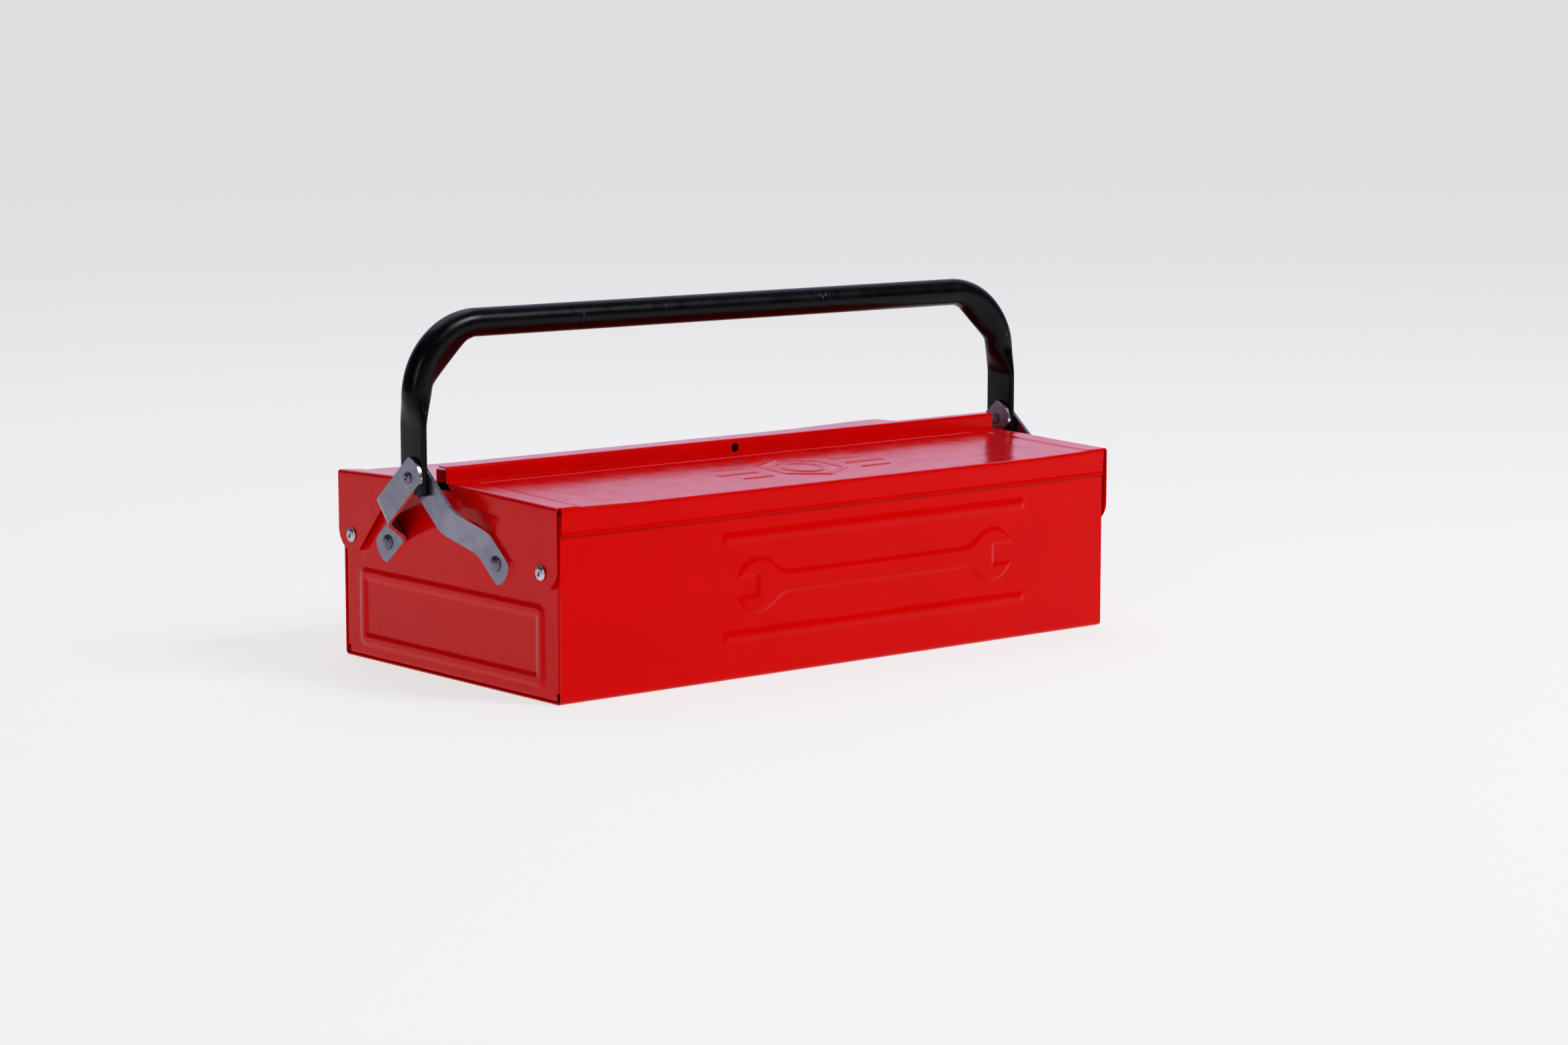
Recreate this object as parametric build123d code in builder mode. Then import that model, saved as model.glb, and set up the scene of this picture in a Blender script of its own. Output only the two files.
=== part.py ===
"""Steel toolbox with two lids that meet in a ridge, a bent-tube handle and a sliding tray.

Millimetres, +Z up.  X runs along the box, -Y is the front, and the origin is the middle of
the underside, so the box stands on Z = 0.  Folded sheets are drawn along their inside faces.
"""
from build123d import *
from math import hypot
import os

# ---- sheet steel box ----
sheet = 0.8
box_length = 400.0
box_width = 207.4
wall_top = 103.0
hem_height = 8.0            # folded-over top edge of the front and back walls
relief = 0.9                # how far pressed patterns stand proud
panel_set_in = 0.4          # end panels sit this far inside the ends of the wrap
panel_top = 104.8
panel_corner_cut = 5.0      # off the panels' top corners, clear of the lids' swing
panel_flange = 12.0         # how far the end panels' welded flanges reach inward
flange_start = 4.0           # foot of the flanges along the front and back walls
flange_height = 90.0
frame_low = 8.0             # raised frame pressed into each end panel
frame_high = 51.5
frame_half = 88.0
frame_rib = 6.0
frame_corner_r = 5.0
frame_inner_r = 3.0
bead_length = 227.0         # long beads pressed into the front wall
bead_width = 7.0
bead_heights = (24.0, 79.0)
pattern_x = 23.5            # middle of the front pattern
spanner_z = 51.5
spanner_reach = 88.0        # from the spanner's middle to the middle of each head
spanner_shaft = 11.0
spanner_head_r = 15.0
jaw_depth = 18.0
jaw_width = 12.0

# ---- lids ----
lid_half_length = 203.2
lid_half_width = 105.4
lid_edge_top = 106.6        # top face at the outer edge
lid_ridge_foot = 109.8      # top face where it meets the ridge
lid_skirt = 15.5            # height of the long outer flange
skirt_half_length = 199.8
ridge_height = 8.8
ridge_front = -4.0          # outside of the front lid's upright wall
ridge_back = 6.0            # outside of the back lid's upright wall
front_lip_tip = 3.5
back_lip_tip = -2.4
lip_gap = 0.8               # air between the two overlapping lips
lock_hole_r = 2.7
lock_hole_rise = 3.6        # above the foot of the ridge
pivot_y = 91.0
pivot_z = 70.5
lobe_r = 13.0
lobe_y = 91.5
lobe_z = 74.0
ear_edge = 104.5            # the ear's upright outer edge
ear_knee = (53.0, 97.0)     # where the ear's lower edge turns down to the lobe
ear_toe = (15.0, 99.3)      # where it turns up to the ridge
ear_corner = (4.6, 109.2)

# ---- handle and its links ----
tube_r = 8.0
tube_wall = 1.2
bend_r = 40.0
leg_axis = 216.5            # the tube's middle line in the legs, above their flat ends
grip_z = 196.4
leg_outside = 220.5         # outer face of the flattened ends, from the middle of the box
leg_thick = 4.0
leg_width = 22.5
leg_corner_r = 1.9
leg_bottom = 104.0
flat_top = 148.0            # the leg is fully flattened below this height
handle_y = 5.0
handle_z = 113.5
link_thick = 2.0
link_width = 17.0
link_end_r = 11.5
link_bend_r = 3.0
foot_spread = 52.0          # from the handle's plane to each link foot
foot_z = 70.0
ramp_start = 15.0           # the link's joggle, measured from the foot rivet
ramp_end = 33.0
side_clearance = 0.3
hole_clearance = 0.05

# ---- rivets: shank, head and tail radii, then head and tail heights ----
blind_r = 2.0
blind_head = (4.2, 1.6)
blind_tail = (3.1, 4.0)
blind_core_r = 1.1
foot_rivet_r = 2.5
foot_head = (4.4, 1.9)
foot_tail = (4.0, 1.6)
pivot_rivet_r = 2.0
pivot_head = (3.4, 1.7)
tray_rivet_r = 1.6
tray_head = (3.0, 1.0)
press_gap = 0.02            # hole over shank where a rivet fills its hole

# ---- tray and its rails ----
rail_top = 61.0
rail_leg = 12.0
rail_shelf = 9.0
rail_half_length = 186.0
tray_x = -97.0              # tray parked at the left end of its slide
tray_length = 190.0
tray_half_width = 101.0
tray_depth = 36.0
tray_corner_r = 6.0
plate_thick = 1.0
plate_top = 103.0
plate_crest = 110.0         # length of the plate's raised middle
slot_length = 90.0
slot_height = 20.0
slot_z = 88.0
tab_width = 14.0
tab_height = 26.0
tab_lift = 4.0
rivet_y = -8.5
rivet_lifts = (12.0, 26.0)  # above the tray's floor
divider_drop = 4.0          # dividers stop this far below the rim
divider_foot = 8.0

half_length = box_length / 2
half_width = box_width / 2
inner_y = half_width - sheet
panel_outside = half_length - panel_set_in
panel_inside = panel_outside - sheet
tray_floor = rail_top + side_clearance
tray_rim = tray_floor + tray_depth
foot_places = (handle_y - foot_spread, handle_y + foot_spread)

os.makedirs("parts", exist_ok=True)


def save(part, label):
    """Label a finished piece and write its STEP file."""
    part.label = label
    export_step(part, f"parts/{label}.step")


def end_plane(side, distance):
    """A plane across one end of the box: local x is side times Y, and the normal points out."""
    return Plane(origin=(side * distance, 0, 0), x_dir=(0, side, 0), z_dir=(side, 0, 0))


def along_x(side, y, z, radius, start, end, mode=Mode.ADD):
    """A round pin or hole along X at one end, between two distances from the middle."""
    with BuildSketch(end_plane(side, start)) as circle:
        with Locations((side * y, z)):
            Circle(radius)
    extrude(circle.sketch, amount=end - start, mode=mode)


# ---- body: one sheet folded into front, bottom and back, hems at the top, pressed front ----
with BuildPart() as body_wrap:
    with BuildSketch(Plane.YZ):
        with BuildLine():
            Polyline((-inner_y, wall_top), (-inner_y, sheet), (inner_y, sheet), (inner_y, wall_top))
            offset(amount=sheet, side=Side.RIGHT)
        make_face()
    extrude(amount=half_length, both=True)
    for wall in (-1, 1):
        with BuildSketch(Plane.XY.offset(wall_top - hem_height)):
            with Locations((0, wall * (inner_y - sheet / 2))):
                Rectangle(2 * panel_inside - 1, sheet)
        extrude(amount=hem_height)
    with BuildSketch(Plane.XZ.offset(half_width)):
        with Locations(*[(pattern_x, height) for height in bead_heights]):
            SlotOverall(bead_length, bead_width)
        with Locations((pattern_x, spanner_z)):
            Rectangle(2 * spanner_reach, spanner_shaft)
        for end in (-1, 1):
            head_x = pattern_x + end * spanner_reach
            with Locations((head_x, spanner_z)):
                Circle(spanner_head_r)
            with Locations((head_x + end * jaw_depth / 2, spanner_z)):
                Rectangle(jaw_depth, jaw_width, mode=Mode.SUBTRACT)
    extrude(amount=relief)
save(body_wrap.part, "body_wrap")


# ---- end panels: pressed plates with flanges turned in, drilled for the rivets ----
for side, label in ((-1, "end_panel_left"), (1, "end_panel_right")):
    with BuildPart() as end_panel:
        with BuildSketch(end_plane(side, panel_inside)):
            with Locations((0, (sheet + panel_top) / 2)):
                plate = Rectangle(2 * inner_y, panel_top - sheet)
            chamfer(plate.vertices().group_by(Axis.Y)[-1], length=panel_corner_cut)
        extrude(amount=sheet)
        with BuildSketch(end_plane(side, panel_outside - panel_flange)):
            for wall in (-1, 1):
                with Locations((wall * (inner_y - sheet / 2), flange_start + flange_height / 2)):
                    Rectangle(sheet, flange_height)
            with Locations((0, 1.5 * sheet)):
                Rectangle(2 * (inner_y - panel_flange), sheet)
        extrude(amount=panel_flange - sheet)
        with BuildSketch(end_plane(side, panel_outside)):
            with Locations((0, (frame_low + frame_high) / 2)):
                RectangleRounded(2 * frame_half, frame_high - frame_low, frame_corner_r)
                RectangleRounded(2 * (frame_half - frame_rib), frame_high - frame_low - 2 * frame_rib,
                                 frame_inner_r, mode=Mode.SUBTRACT)
        extrude(amount=relief)
        for y in (-pivot_y, pivot_y):
            along_x(side, y, pivot_z, blind_r + press_gap, panel_inside - 1, panel_outside + 1, Mode.SUBTRACT)
        for y in foot_places:
            along_x(side, y, foot_z, foot_rivet_r + press_gap, panel_inside - 1, panel_outside + 1, Mode.SUBTRACT)
    save(end_panel.part, label)


# ---- lids: outer flange, top, ridge wall and lip are one folded sheet with an ear at each end ----
def lid_profile(facing):
    """The lid's inside line from the outer flange's lower edge to the tip of its lip."""
    skirt_y = facing * (lid_half_width - sheet)
    under_foot = lid_ridge_foot - sheet
    lip_under = under_foot + ridge_height
    wall_y, tip_y = ridge_front + sheet, front_lip_tip
    if facing > 0:
        lip_under -= lip_gap + sheet
        wall_y, tip_y = ridge_back - sheet, back_lip_tip
    return [(skirt_y, lid_edge_top - lid_skirt), (skirt_y, lid_edge_top - sheet),
            (wall_y, under_foot), (wall_y, lip_under), (tip_y, lip_under)]


for facing, label in ((-1, "front_lid"), (1, "back_lid")):
    with BuildPart() as lid:
        with BuildSketch(Plane.YZ):
            with BuildLine():
                Polyline(*lid_profile(facing))
                offset(amount=sheet, side=Side.LEFT if facing < 0 else Side.RIGHT)
            make_face()
        extrude(amount=lid_half_length, both=True)
        for side in (-1, 1):
            toward = side * facing
            with BuildSketch(end_plane(side, skirt_half_length)):
                with Locations((toward * lid_half_width, lid_edge_top - 1 - lid_skirt / 2)):
                    Rectangle(4 * sheet, lid_skirt)
            extrude(amount=lid_half_length, mode=Mode.SUBTRACT)
            with BuildSketch(end_plane(side, lid_half_length - sheet)):
                with Locations((toward * lobe_y, lobe_z)):
                    Circle(lobe_r)
                Polygon((toward * ear_edge, lid_edge_top - sheet / 2), (toward * ear_edge, lobe_z),
                        (toward * ear_knee[0], ear_knee[1]), (toward * ear_knee[0], lid_edge_top), align=None)
                make_hull()
                Polygon((toward * ear_knee[0], ear_knee[1]), (toward * ear_toe[0], ear_toe[1]),
                        (toward * ear_corner[0], ear_corner[1]), (toward * ear_knee[0], lid_edge_top + 1),
                        align=None)
            extrude(amount=sheet)
            along_x(side, facing * pivot_y, pivot_z, blind_r + hole_clearance,
                    lid_half_length - 2, lid_half_length + 1, Mode.SUBTRACT)
        with BuildSketch(Plane.XZ):
            with Locations((0, lid_ridge_foot + lock_hole_rise)):
                Circle(lock_hole_r)
        extrude(amount=-facing * lid_half_width / 2, mode=Mode.SUBTRACT)
    save(lid.part, label)


# ---- handle links: joggled strips riveted to the end panels, one each side of every leg ----
link_reach = hypot(foot_spread, handle_z - foot_z)
outer_level = leg_outside + side_clearance - panel_outside
inner_level = leg_outside - leg_thick - side_clearance - link_thick - panel_outside
link_outer_face = panel_outside + outer_level + link_thick
link_inner_face = panel_outside + inner_level

for end_name, side in (("left", -1), ("right", 1)):
    for foot_name, foot_side in (("front", -1), ("back", 1)):
        level = outer_level if side * foot_side < 0 else inner_level
        foot = Vector(side * panel_outside, handle_y + foot_side * foot_spread, foot_z)
        upward = Vector(0, -foot_side * foot_spread, handle_z - foot_z).normalized()
        outward = Vector(side, 0, 0)
        with BuildPart() as link:
            with BuildSketch(Plane(origin=foot, x_dir=upward, z_dir=upward.cross(outward))):
                with BuildLine():
                    FilletPolyline((-2 * link_end_r, 0), (ramp_start, 0), (ramp_end, level),
                                   (link_reach + 2 * link_end_r, level), radius=link_bend_r)
                    offset(amount=link_thick, side=Side.LEFT)
                make_face()
            extrude(amount=link_width / 2, both=True)
            with BuildSketch(Plane(origin=foot, x_dir=upward, z_dir=outward)):
                with Locations((0, 0), (link_reach, 0)):
                    Circle(link_end_r)
                make_hull()
                with Locations((link_reach / 2, 0)):
                    Rectangle(2 * link_reach, link_width, mode=Mode.INTERSECT)
            extrude(amount=2 * level, mode=Mode.INTERSECT)
            along_x(side, foot.Y, foot_z, foot_rivet_r + press_gap, panel_outside - 1,
                    panel_outside + link_thick + 1, Mode.SUBTRACT)
            along_x(side, handle_y, handle_z, pivot_rivet_r + press_gap, link_inner_face - 1,
                    link_outer_face + 1, Mode.SUBTRACT)
        save(link.part, f"link_{end_name}_{foot_name}")


# ---- rivets: link feet, handle pivots, and the open blind rivets that the lids turn on ----
def headed_rivet(side, y, z, shank_r, outer_face, inner_face, head, tail):
    """A set rivet along X: a shank between two faces, a head outside and a tail inside."""
    along_x(side, y, z, shank_r, inner_face - tail[1] / 2, outer_face + head[1] / 2)
    along_x(side, y, z, head[0], outer_face, outer_face + head[1])
    along_x(side, y, z, tail[0], inner_face - tail[1], inner_face)


with BuildPart() as link_foot_rivets:
    for side in (-1, 1):
        for y in foot_places:
            headed_rivet(side, y, foot_z, foot_rivet_r, panel_outside + link_thick, panel_inside,
                         foot_head, foot_tail)
save(link_foot_rivets.part, "link_foot_rivets")

with BuildPart() as handle_pivot_rivets:
    for side in (-1, 1):
        headed_rivet(side, handle_y, handle_z, pivot_rivet_r, link_outer_face, link_inner_face,
                     pivot_head, pivot_head)
save(handle_pivot_rivets.part, "handle_pivot_rivets")

with BuildPart() as lid_pivot_rivets:
    for side in (-1, 1):
        for y in (-pivot_y, pivot_y):
            headed_rivet(side, y, pivot_z, blind_r, lid_half_length + side_clearance, panel_inside,
                         blind_head, blind_tail)
            along_x(side, y, pivot_z, blind_core_r, lid_half_length, lid_half_length + 3, Mode.SUBTRACT)
save(lid_pivot_rivets.part, "lid_pivot_rivets")


# ---- handle: one steel tube, bent twice, its legs pressed flat where the rivets pass ----
bend_foot = grip_z - bend_r - 1
with BuildPart() as handle_tube:
    with BuildLine(Plane.XZ.offset(-handle_y)):
        FilletPolyline((-leg_axis, bend_foot), (-leg_axis, grip_z), (leg_axis, grip_z),
                       (leg_axis, bend_foot), radius=bend_r)
    with BuildSketch(Plane.XY.offset(bend_foot)):
        with Locations((-leg_axis, handle_y)):
            Circle(tube_r)
            Circle(tube_r - tube_wall, mode=Mode.SUBTRACT)
    sweep()
    for side in (-1, 1):
        flat_centre = (side * (leg_outside - leg_thick / 2), handle_y)
        with BuildSketch(Plane.XY.offset(bend_foot)):
            with Locations((side * leg_axis, handle_y)):
                Circle(tube_r)
        with BuildSketch(Plane.XY.offset(flat_top)):
            with Locations(flat_centre):
                RectangleRounded(leg_thick, leg_width, leg_corner_r)
        loft()
        with BuildSketch(Plane.XY.offset(leg_bottom)):
            with Locations(flat_centre):
                RectangleRounded(leg_thick, leg_width, leg_corner_r)
        extrude(amount=flat_top - leg_bottom)
        along_x(side, handle_y, handle_z, pivot_rivet_r + hole_clearance, leg_outside - leg_thick - 1,
                leg_outside + 1, Mode.SUBTRACT)
save(handle_tube.part, "handle_tube")


# ---- tray rails: angles spot-welded along the front and back walls ----
for wall, label in ((-1, "tray_rail_front"), (1, "tray_rail_back")):
    with BuildPart() as rail:
        with BuildSketch(Plane.YZ):
            with Locations((wall * (inner_y - sheet / 2), rail_top - rail_leg / 2)):
                Rectangle(sheet, rail_leg)
            with Locations((wall * (inner_y - rail_shelf / 2), rail_top - sheet / 2)):
                Rectangle(rail_shelf, sheet)
        extrude(amount=rail_half_length, both=True)
    save(rail.part, label)


# ---- tray: an open pan, a carrying plate down its middle and two cross dividers ----
plate_half = tray_length / 2 - sheet
tray_base = tray_floor + sheet


def tray_rivet_holes(wall_distance):
    """Holes for the four rivets through both ends, in a wall at that distance from the middle."""
    for end in (-1, 1):
        for lift in rivet_lifts:
            along_x(1, rivet_y, tray_floor + lift, tray_rivet_r + press_gap, tray_x + end * wall_distance - 2,
                    tray_x + end * wall_distance + 2, Mode.SUBTRACT)


with BuildPart() as tray_pan:
    with BuildSketch(Plane.XY.offset(tray_floor)):
        with Locations((tray_x, 0)):
            RectangleRounded(tray_length, 2 * tray_half_width, tray_corner_r)
    extrude(amount=tray_depth)
    with BuildSketch(Plane.XY.offset(tray_base)):
        with Locations((tray_x, 0)):
            RectangleRounded(2 * plate_half, 2 * (tray_half_width - sheet), tray_corner_r - sheet)
    extrude(amount=tray_depth, mode=Mode.SUBTRACT)
    tray_rivet_holes(plate_half)
save(tray_pan.part, "tray_pan")

with BuildPart() as tray_carrying_plate:
    with BuildSketch(Plane.XZ):
        Polygon((tray_x - plate_half, tray_base), (tray_x + plate_half, tray_base),
                (tray_x + plate_half, tray_rim - 2), (tray_x + plate_crest / 2, plate_top),
                (tray_x - plate_crest / 2, plate_top), (tray_x - plate_half, tray_rim - 2), align=None)
        with Locations((tray_x, slot_z)):
            SlotOverall(slot_length, slot_height, mode=Mode.SUBTRACT)
    extrude(amount=plate_thick / 2, both=True)
    with BuildSketch(Plane.XY.offset(tray_base + tab_lift)):
        for end in (-1, 1):
            with Locations((tray_x + end * (plate_half - plate_thick / 2), -tab_width / 2)):
                Rectangle(plate_thick, tab_width)
    extrude(amount=tab_height)
    tray_rivet_holes(plate_half - plate_thick)
save(tray_carrying_plate.part, "tray_carrying_plate")

divider_length = tray_half_width - sheet - plate_thick / 2
divider_middle = (tray_half_width - sheet + plate_thick / 2) / 2
for wall, label, divider_x in ((-1, "tray_divider_front", tray_x + 52), (1, "tray_divider_back", tray_x - 53)):
    with BuildPart() as divider:
        with BuildSketch(Plane.XY.offset(tray_base)):
            with Locations((divider_x, wall * divider_middle)):
                Rectangle(sheet, divider_length)
        extrude(amount=tray_depth - divider_drop)
        with BuildSketch(Plane.XY.offset(tray_base)):
            with Locations((divider_x + divider_foot / 2, wall * divider_middle)):
                Rectangle(divider_foot, divider_length - 2 * tray_corner_r)
        extrude(amount=sheet)
    save(divider.part, label)

with BuildPart() as tray_rivets:
    for end in (-1, 1):
        wall_faces = (tray_x + end * tray_length / 2, tray_x + end * (plate_half - plate_thick))
        for lift in rivet_lifts:
            headed_rivet(1, rivet_y, tray_floor + lift, tray_rivet_r, max(wall_faces), min(wall_faces),
                         tray_head, tray_head)
save(tray_rivets.part, "tray_rivets")
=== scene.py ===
"""Looks for a steel toolbox with two lids, a bent-tube handle and a sliding tray.

Blender works in metres in the CAD frame: +X along the box, -Y out of the front wall, +Z up.
Sizes inside the sections are millimetres, and build() turns the finished mesh into metres.
"""
import math

import bmesh
import bpy
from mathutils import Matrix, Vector, noise


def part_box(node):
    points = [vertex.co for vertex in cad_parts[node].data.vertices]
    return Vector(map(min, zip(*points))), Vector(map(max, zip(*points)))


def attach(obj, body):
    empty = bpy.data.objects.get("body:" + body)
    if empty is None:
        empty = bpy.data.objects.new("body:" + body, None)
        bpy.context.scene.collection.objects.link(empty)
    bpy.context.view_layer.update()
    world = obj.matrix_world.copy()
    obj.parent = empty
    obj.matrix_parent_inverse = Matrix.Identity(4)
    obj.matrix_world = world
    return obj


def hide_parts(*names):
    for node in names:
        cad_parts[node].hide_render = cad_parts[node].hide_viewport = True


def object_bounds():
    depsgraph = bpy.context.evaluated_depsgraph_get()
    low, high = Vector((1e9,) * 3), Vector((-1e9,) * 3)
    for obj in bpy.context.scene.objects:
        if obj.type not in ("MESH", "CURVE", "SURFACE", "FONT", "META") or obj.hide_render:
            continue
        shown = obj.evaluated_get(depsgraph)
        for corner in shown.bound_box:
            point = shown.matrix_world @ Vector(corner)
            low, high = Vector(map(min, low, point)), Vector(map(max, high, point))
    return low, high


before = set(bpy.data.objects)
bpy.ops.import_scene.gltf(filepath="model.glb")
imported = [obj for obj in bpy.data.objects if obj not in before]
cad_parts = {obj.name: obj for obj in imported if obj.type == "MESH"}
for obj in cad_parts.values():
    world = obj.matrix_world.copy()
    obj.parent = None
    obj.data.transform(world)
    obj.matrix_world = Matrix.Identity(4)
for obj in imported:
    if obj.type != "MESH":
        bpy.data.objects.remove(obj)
cad_low, cad_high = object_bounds()


# ---- Camera: a long lens from the front left, a little above the lids ----
# It stands about 2.2 m away, so the box's edges run nearly parallel, and looks down 8 degrees.
camera_data = bpy.data.cameras.new("camera")
camera_data.lens = 87.9
camera_data.sensor_width = 36
camera_data.clip_end = 200
camera = bpy.data.objects.new("camera", camera_data)
camera.location = (-1.3886, -1.7216, 0.388)
turn, dip = math.radians(50.31), math.radians(-8.21)
looks_along = Vector((math.cos(turn) * math.cos(dip), math.sin(turn) * math.cos(dip), math.sin(dip)))
camera.rotation_euler = looks_along.to_track_quat("-Z", "Y").to_euler()
bpy.context.scene.collection.objects.link(camera)
bpy.context.scene.camera = camera


# ---- Studio: a pale floor, a bright room behind and soft lamps ----
# The room is darker in front and to the left, so the red stays deep there, while the lid tops,
# seen at a grazing angle, mirror the pale lavender far side.
def linear(hex_colour):
    """A colour written as sRGB hex, as the linear RGBA that Blender's nodes take."""
    parts = [int(hex_colour[i:i + 2], 16) / 255 for i in (1, 3, 5)]
    return tuple(p / 12.92 if p <= 0.04045 else ((p + 0.055) / 1.055) ** 2.4 for p in parts) + (1.0,)


def add_node(tree, kind, settings=(), **inputs):
    """One shader node: settings are its own properties, inputs are socket values or sockets to link."""
    made = tree.nodes.new(kind)
    for name, value in dict(settings).items():
        setattr(made, name, value)
    for name, value in inputs.items():
        key = int(name[1:]) if name[0] == "i" and name[1:].isdigit() else name.replace("_", " ")
        socket = made.inputs[key]
        if isinstance(value, bpy.types.NodeSocket):
            tree.links.new(value, socket)
        else:
            socket.default_value = value
    return made


bpy.context.scene.view_settings.view_transform = "Standard"
bright_side = (0.65, 0.75, 0.1)
room = bpy.data.worlds.new("studio_room")
room.use_nodes = True
room.node_tree.nodes.clear()
tree = room.node_tree
direction = add_node(tree, "ShaderNodeTexCoord")
far_side = add_node(tree, "ShaderNodeVectorMath", {"operation": "DOT_PRODUCT"},
                     i0=direction.outputs["Generated"], i1=bright_side)
fade = add_node(tree, "ShaderNodeMapRange", Value=far_side.outputs["Value"],
                From_Min=0.45, From_Max=0.92, To_Min=0.03, To_Max=1.0)
glow = add_node(tree, "ShaderNodeBackground", Color=linear("#E4DAFF"), Strength=fade.outputs["Result"])
add_node(tree, "ShaderNodeOutputWorld", Surface=glow.outputs["Background"])
bpy.context.scene.world = room

for name, power, size, place, target in (
        ("key_softbox", 50, 0.9, (1.0, -1.9, 2.1), (0.05, 0, 0.05)),
        ("end_softbox", 11, 1.0, (-2.1, -1.3, 1.1), (-0.2, 0, 0.05)),
        ("top_softbox", 12, 1.6, (0.2, 0.9, 2.1), (0, 0, 0.1))):
    lamp_data = bpy.data.lights.new(name, "AREA")
    lamp_data.energy = power
    lamp_data.size = size
    lamp_data.color = linear("#FBF8FF")[:3]
    lamp = bpy.data.objects.new(name, lamp_data)
    lamp.location = place
    lamp.rotation_euler = (Vector(target) - Vector(place)).to_track_quat("-Z", "Y").to_euler()
    bpy.context.scene.collection.objects.link(lamp)

floor_material = bpy.data.materials.new("pale_paper")
floor_material.use_nodes = True
paper = floor_material.node_tree.nodes["Principled BSDF"]
paper.inputs["Base Color"].default_value = linear("#8C8C8C")
paper.inputs["Roughness"].default_value = 0.9
paper.inputs["Specular IOR Level"].default_value = 0.0
paper.inputs["Emission Color"].default_value = linear("#FFFFFF")
paper.inputs["Emission Strength"].default_value = 0.7
floor_size, floor_gap = 90, 0.0002     # metres; the gap keeps the floor clear of the box's underside
floor_mesh = bmesh.new()
bmesh.ops.create_grid(floor_mesh, x_segments=1, y_segments=1, size=floor_size)
floor_data = bpy.data.meshes.new("floor")
floor_mesh.to_mesh(floor_data)
floor_mesh.free()
floor_data.materials.append(floor_material)
floor = bpy.data.objects.new("floor", floor_data)
floor.location.z = cad_low.z - floor_gap
bpy.context.scene.collection.objects.link(floor)


# ---- Body wrap: one sheet of 0.8 mm mild steel folded into front, bottom and back ----
# Its top edges are hemmed over, and the front is pressed with two long beads and a spanner.
# Baked gloss enamel covers it: a hard smooth red with the fine ripple that sprayed paint keeps.
sheet = 0.8
wrap_low, wrap_high = (corner * 1000 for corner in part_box("body_wrap"))
wall_y, wall_top, wrap_end = wrap_high.y, wrap_high.z, wrap_high.x
relief = -wrap_low.y - wall_y
wrap_bend_r = 2.4
hem_height = 8.0
hem_end = wrap_end - 1.7    # the hems stop short of the sheet's ends
pattern_x = 23.5
pattern_margin = 8.0        # plain sheet around the pattern that has the fine mesh too
bead_heights = (24.0, 79.0)
bead_half, bead_r = 110.0, 3.5
spanner_z, spanner_reach, shaft_half, head_r = 51.5, 88.0, 5.5, 15.0
jaw_depth, jaw_half = 18.0, 6.0
neck_r = 9.0                # fillet where the spanner's shaft meets its heads
press_slope = 1.8           # width of the rounded flank of a pressed pattern
fine, coarse = 0.85, 9.0    # mesh steps over the pressed pattern and elsewhere
hem_step, wall_step, bottom_step = 4.0, 3.0, 14.0
fade_up, fade_across = 20.0, 25.0    # the sheet lies true at its folds and ends, and waves between


def enamel(name, deep, bright, peel_height, roughness, gloss, gloss_tint):
    """Sprayed and baked enamel: a hard gloss with orange peel, over colour that drifts a little.

    Noise scales count per metre: 620 draws peel 1.6 mm across, 95 waves of 10 mm and 28 clouds
    of colour 36 mm across. The height of the peel is in millimetres.
    """
    material = bpy.data.materials.new(name)
    material.use_nodes = True
    tree = material.node_tree
    tree.nodes.clear()
    place = add_node(tree, "ShaderNodeTexCoord").outputs["Object"]
    drift = add_node(tree, "ShaderNodeTexNoise", Vector=place, Scale=28, Detail=3)
    tone = add_node(tree, "ShaderNodeMix", {"data_type": "RGBA"}, Factor=drift.outputs["Fac"],
                    i6=linear(deep), i7=linear(bright))
    peel = add_node(tree, "ShaderNodeTexNoise", Vector=place, Scale=620, Detail=2, Roughness=0.45)
    wave = add_node(tree, "ShaderNodeTexNoise", Vector=place, Scale=95, Detail=1)
    height = add_node(tree, "ShaderNodeMath", {"operation": "MULTIPLY_ADD"},
                      i0=wave.outputs["Fac"], i1=2.2, i2=peel.outputs["Fac"])
    bump = add_node(tree, "ShaderNodeBump", Height=height.outputs["Value"], Strength=1.0,
                    Distance=peel_height / 1000)
    patchy = add_node(tree, "ShaderNodeMapRange", Value=wave.outputs["Fac"], From_Min=0.3, From_Max=0.7,
                      To_Min=roughness * 0.8, To_Max=roughness * 1.25)
    surface = add_node(tree, "ShaderNodeBsdfPrincipled", Base_Color=tone.outputs[2],
                       Roughness=patchy.outputs["Result"], IOR=1.5, Specular_IOR_Level=gloss,
                       Specular_Tint=linear(gloss_tint), Normal=bump.outputs["Normal"])
    add_node(tree, "ShaderNodeOutputMaterial", Surface=surface.outputs["BSDF"])
    return material


# the pigment in the gloss coat reddens what it mirrors head-on, and leaves grazing mirrors white
red_enamel = enamel("baked_gloss_enamel_red", "#D60302", "#E40504", 0.060, 0.17, 0.35, "#FF1410")


def spaced(start, end, step):
    """Evenly spaced numbers from start to end, no further apart than step."""
    count = max(1, math.ceil(abs(end - start) / step))
    return [start + (end - start) * i / count for i in range(count + 1)]


def joined(*runs):
    """Runs of numbers or points one after another, without a repeat where two meet."""
    line = list(runs[0])
    for run in runs[1:]:
        line += run[1:] if run[0] == line[-1] else run
    return line


def arc(centre, radius, start, end, steps):
    """Points on an arc in a 2-D profile, with its angles in degrees."""
    turns = [math.radians(start + (end - start) * i / steps) for i in range(steps + 1)]
    return [(centre[0] + radius * math.cos(a), centre[1] + radius * math.sin(a)) for a in turns]


def smooth(share):
    """0 to 1 with a soft start and end."""
    share = min(1.0, max(0.0, share))
    return share * share * (3 - 2 * share)


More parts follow.
